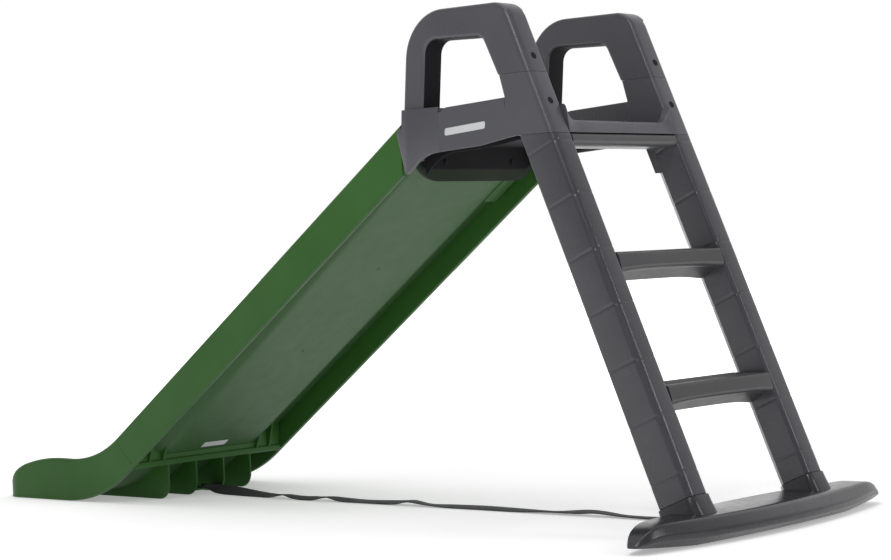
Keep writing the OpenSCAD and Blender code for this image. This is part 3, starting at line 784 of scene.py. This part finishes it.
def foot_section(y):
    """The foot bar's cross-section at y: boat-shaped in plan, domed, lower towards its tips."""
    # In plan each edge is an arc of that rise over that chord
    rise, chord = 60.0, 2 * (FOOT_HALF + 45)
    r = (rise * rise + chord * chord / 4) / (2 * rise)
    depth = math.sqrt(r * r - y * y) - (r - rise)
    tip = max(0.0, abs(y) - (FOOT_HALF - 22)) / 22
    depth *= math.sqrt(1 - 0.75 * tip * tip)
    top = float(np.interp(abs(y), [0, 246, 260, 273, 284, 294, 301, FOOT_HALF],
                          [FOOT_H, FOOT_H, 37.2, 35, 31, 25, 19, 14]))
    low = 9.2 * max(0.0, (abs(y) - 188) / (FOOT_HALF - 188))**1.15
    profile = smooth([(-56, 0), (-60, 12), (-51, 38), (42, 38), (59, 22), (60, 13), (30, 0)],
                     [0, 6, 13, 18, 8, 3, 8], 7)
    return [(FOOT_X + x / rise * depth, y, low + z / FOOT_H * (top - low)) for x, z in profile]


def build_foot():
    # Sections closer together towards the tips
    c = np.linspace(-1, 1, 81)
    ys = np.sign(c) * (1 - (1 - np.abs(c))**1.6) * (FOOT_HALF - 0.05)
    ys = np.unique(np.round(ys, 4))
    verts, faces = loft([foot_section(y) for y in ys])
    bar = add_mesh("foot_bar_body", verts, faces, GREY_FOOT, sharp=50)
    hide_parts("foot_bar")
    top = FLOOR_GAP / math.cos(LEAN) - 0.4
    for name, s in SIDES:
        stations = [(2.0, -6.0), (20.0, -4.5), (30.0, -3.2), (top - 1.2, -2.5), (top - 0.3, -2.1),
                    (top, -1.2)]
        rings = [[on_rail(u, y, t) for u, y in rail_ring(g, s)] for t, g in stations]
        verts, faces = loft(rings)
        socket = add_mesh(f"foot_socket_{name}", verts, faces, GREY_FOOT)
        trim(socket, 0.2, True)


# ---------------------------------------------------------------- strap
STRAP_W, STRAP_T = 25.0, 1.6
# Middle of the strap from the chute's seat to the foot bar, with its roll in degrees
STRAP_ROUTE = [
    (-464, 0, 13, 0), (-436, 0, 12.5, 10), (-412, -1, 8.5, 26), (-380, -2, 7, 30), (-340, -4, 5.5, 22),
    (-300, -6, 4, 12), (-262, -6, 3, 6), (-230, -8, 6.6, -6), (-200, -8, 3.2, 4), (-160, -6, 2.4, 8),
    (-125, -4, 6.4, -4), (-90, -3, 3, 6), (-40, -2, 2.2, 4), (30, 0, 3.4, 8), (62, 2, 6.4, 0), (96, 3, 3, -5),
    (150, 3, 2, 4), (220, 4, 2.4, 6), (300, 5, 1.8, 3), (360, 6, 2.6, -4), (420, 7, 5, 6), (455, 8, 5.6, 0),
    (500, 8, 2.4, -4), (560, 7, 1.8, 0), (612, 5, 2.6, 6), (654, 2, 2.4, 0), (690, 0, 7, 0), (724, 0, 7, 0)]


def catmull(points, per):
    """A smooth curve through the points, with that many steps between each two."""
    p = np.array([points[0], *points, points[-1]], float)
    out = []
    for i in range(1, len(p) - 2):
        for k in range(per):
            t = k / per
            a, b, c, d = p[i - 1], p[i], p[i + 1], p[i + 2]
            out.append(0.5 * (2 * b + (c - a) * t + (2 * a - 5 * b + 4 * c - d) * t**2
                              + (3 * b - a - 3 * c + d) * t**3))
    return np.array(out + [p[-2]])


def build_strap():
    path = catmull(STRAP_ROUTE, 6)
    section = smooth([(-STRAP_W / 2, -STRAP_T / 2), (STRAP_W / 2, -STRAP_T / 2), (STRAP_W / 2, STRAP_T / 2),
                      (-STRAP_W / 2, STRAP_T / 2)], [0.6] * 4, 3)
    rings, centres = [], []
    for x, y, z, roll in path:
        a = math.radians(roll)
        low = STRAP_W / 2 * abs(math.sin(a)) + STRAP_T / 2 + 0.1
        z = max(z, low)
        centres.append((x * MM, y * MM, z * MM))
        rings.append([(x, y + u * math.cos(a) - v * math.sin(a), z + u * math.sin(a) + v * math.cos(a))
                      for u, v in section])
    verts, faces = loft(rings)
    strap = add_mesh("strap_webbing", verts, faces, STRAP, sharp=50)
    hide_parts("strap")


build_chute()
build_deck()
build_grips()
build_rails()
build_steps()
build_foot()
build_strap()
# Finishes of the small CAD nodes that stay shown, by what their names hold; the chute's screws, under the
# deck, get painted shade
SMALL_FINISH = (("chute_screw", GREY_PAINTED_SHADE), ("screw", STEEL), ("anchor", STEEL), ("label", FILM),
                ("badge", FILM))
for node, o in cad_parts.items():
    finish = next((material for word, material in SMALL_FINISH if word in node), None)
    if finish:
        o.data.materials.clear()
        o.data.materials.append(finish)


# ---------------------------------------------------------------- floor and light
def add_floor():
    """A white floor that glows: lit and glowing faintly near the slide, where the shadow falls, and evenly
    bright further off.
    """
    m, nodes, links, bsdf = new_material("floor")
    bsdf.inputs["Base Color"].default_value = (0.86, 0.86, 0.86, 1)
    bsdf.inputs["Roughness"].default_value = 0.9
    bsdf.inputs["Specular IOR Level"].default_value = 0.1
    bsdf.inputs["Emission Color"].default_value = (1, 1, 1, 1)
    # Glow: emission strength rises from 0.34 near the slide to 1.0 further off
    length = nodes.new("ShaderNodeVectorMath")
    length.operation = "LENGTH"
    links.new(nodes.new("ShaderNodeTexCoord").outputs["Object"], length.inputs[0])
    far = nodes.new("ShaderNodeMapRange")
    far.inputs["From Min"].default_value, far.inputs["From Max"].default_value = 0.9, 2.2
    far.inputs["To Min"].default_value, far.inputs["To Max"].default_value = 0.34, 1.0
    links.new(length.outputs["Value"], far.inputs["Value"])
    links.new(far.outputs["Result"], bsdf.inputs["Emission Strength"])
    reach = 40.0
    corners = [(-reach, -reach, 0), (reach, -reach, 0), (reach, reach, 0), (-reach, reach, 0)]
    mesh = bpy.data.meshes.new("floor")
    mesh.from_pydata(corners, [], [(0, 1, 2, 3)])
    mesh.materials.append(m)
    floor = bpy.data.objects.new("floor", mesh)
    bpy.context.scene.collection.objects.link(floor)
    floor.location.z = -0.0004


def add_light(name, place, aim, size, power):
    """A square white lamp of that size (m) and power (W)."""
    data = bpy.data.lights.new(name, "AREA")
    data.shape, data.size, data.energy = "SQUARE", size, power
    o = bpy.data.objects.new(name, data)
    o.location = place
    o.rotation_euler = (Vector(aim) - Vector(place)).to_track_quat("-Z", "Y").to_euler()
    bpy.context.scene.collection.objects.link(o)


def add_world():
    """White all round, brighter behind the slide than on the camera's side, as in a studio cove."""
    world = bpy.data.worlds.new("world")
    world.use_nodes = True
    nodes, links = world.node_tree.nodes, world.node_tree.links
    dot = nodes.new("ShaderNodeVectorMath")
    dot.operation = "DOT_PRODUCT"
    links.new(nodes.new("ShaderNodeTexCoord").outputs["Generated"], dot.inputs[0])
    dot.inputs[1].default_value = (-math.sin(AZIMUTH), math.cos(AZIMUTH), 0.0)
    behind = nodes.new("ShaderNodeMapRange")
    behind.inputs["From Min"].default_value, behind.inputs["From Max"].default_value = -0.3, 0.75
    behind.inputs["To Min"].default_value, behind.inputs["To Max"].default_value = 0.32, 1.02
    links.new(dot.outputs["Value"], behind.inputs["Value"])
    links.new(behind.outputs["Result"], nodes["Background"].inputs["Strength"])
    nodes["Background"].inputs["Color"].default_value = (1, 1, 1, 1)
    bpy.context.scene.world = world


add_floor()
add_world()
add_light("ladder_side", (3.3, 0.5, 1.7), (0.3, 0, 0.3), 0.7, 13)
add_light("near_side", (1.3, -2.3, 2.4), (0.1, 0, 0.4), 0.6, 17)
add_light("overhead", (0.4, -0.8, 3.6), (0.0, 0, 0.2), 2.6, 30)
bpy.context.scene.view_settings.view_transform = "Standard"
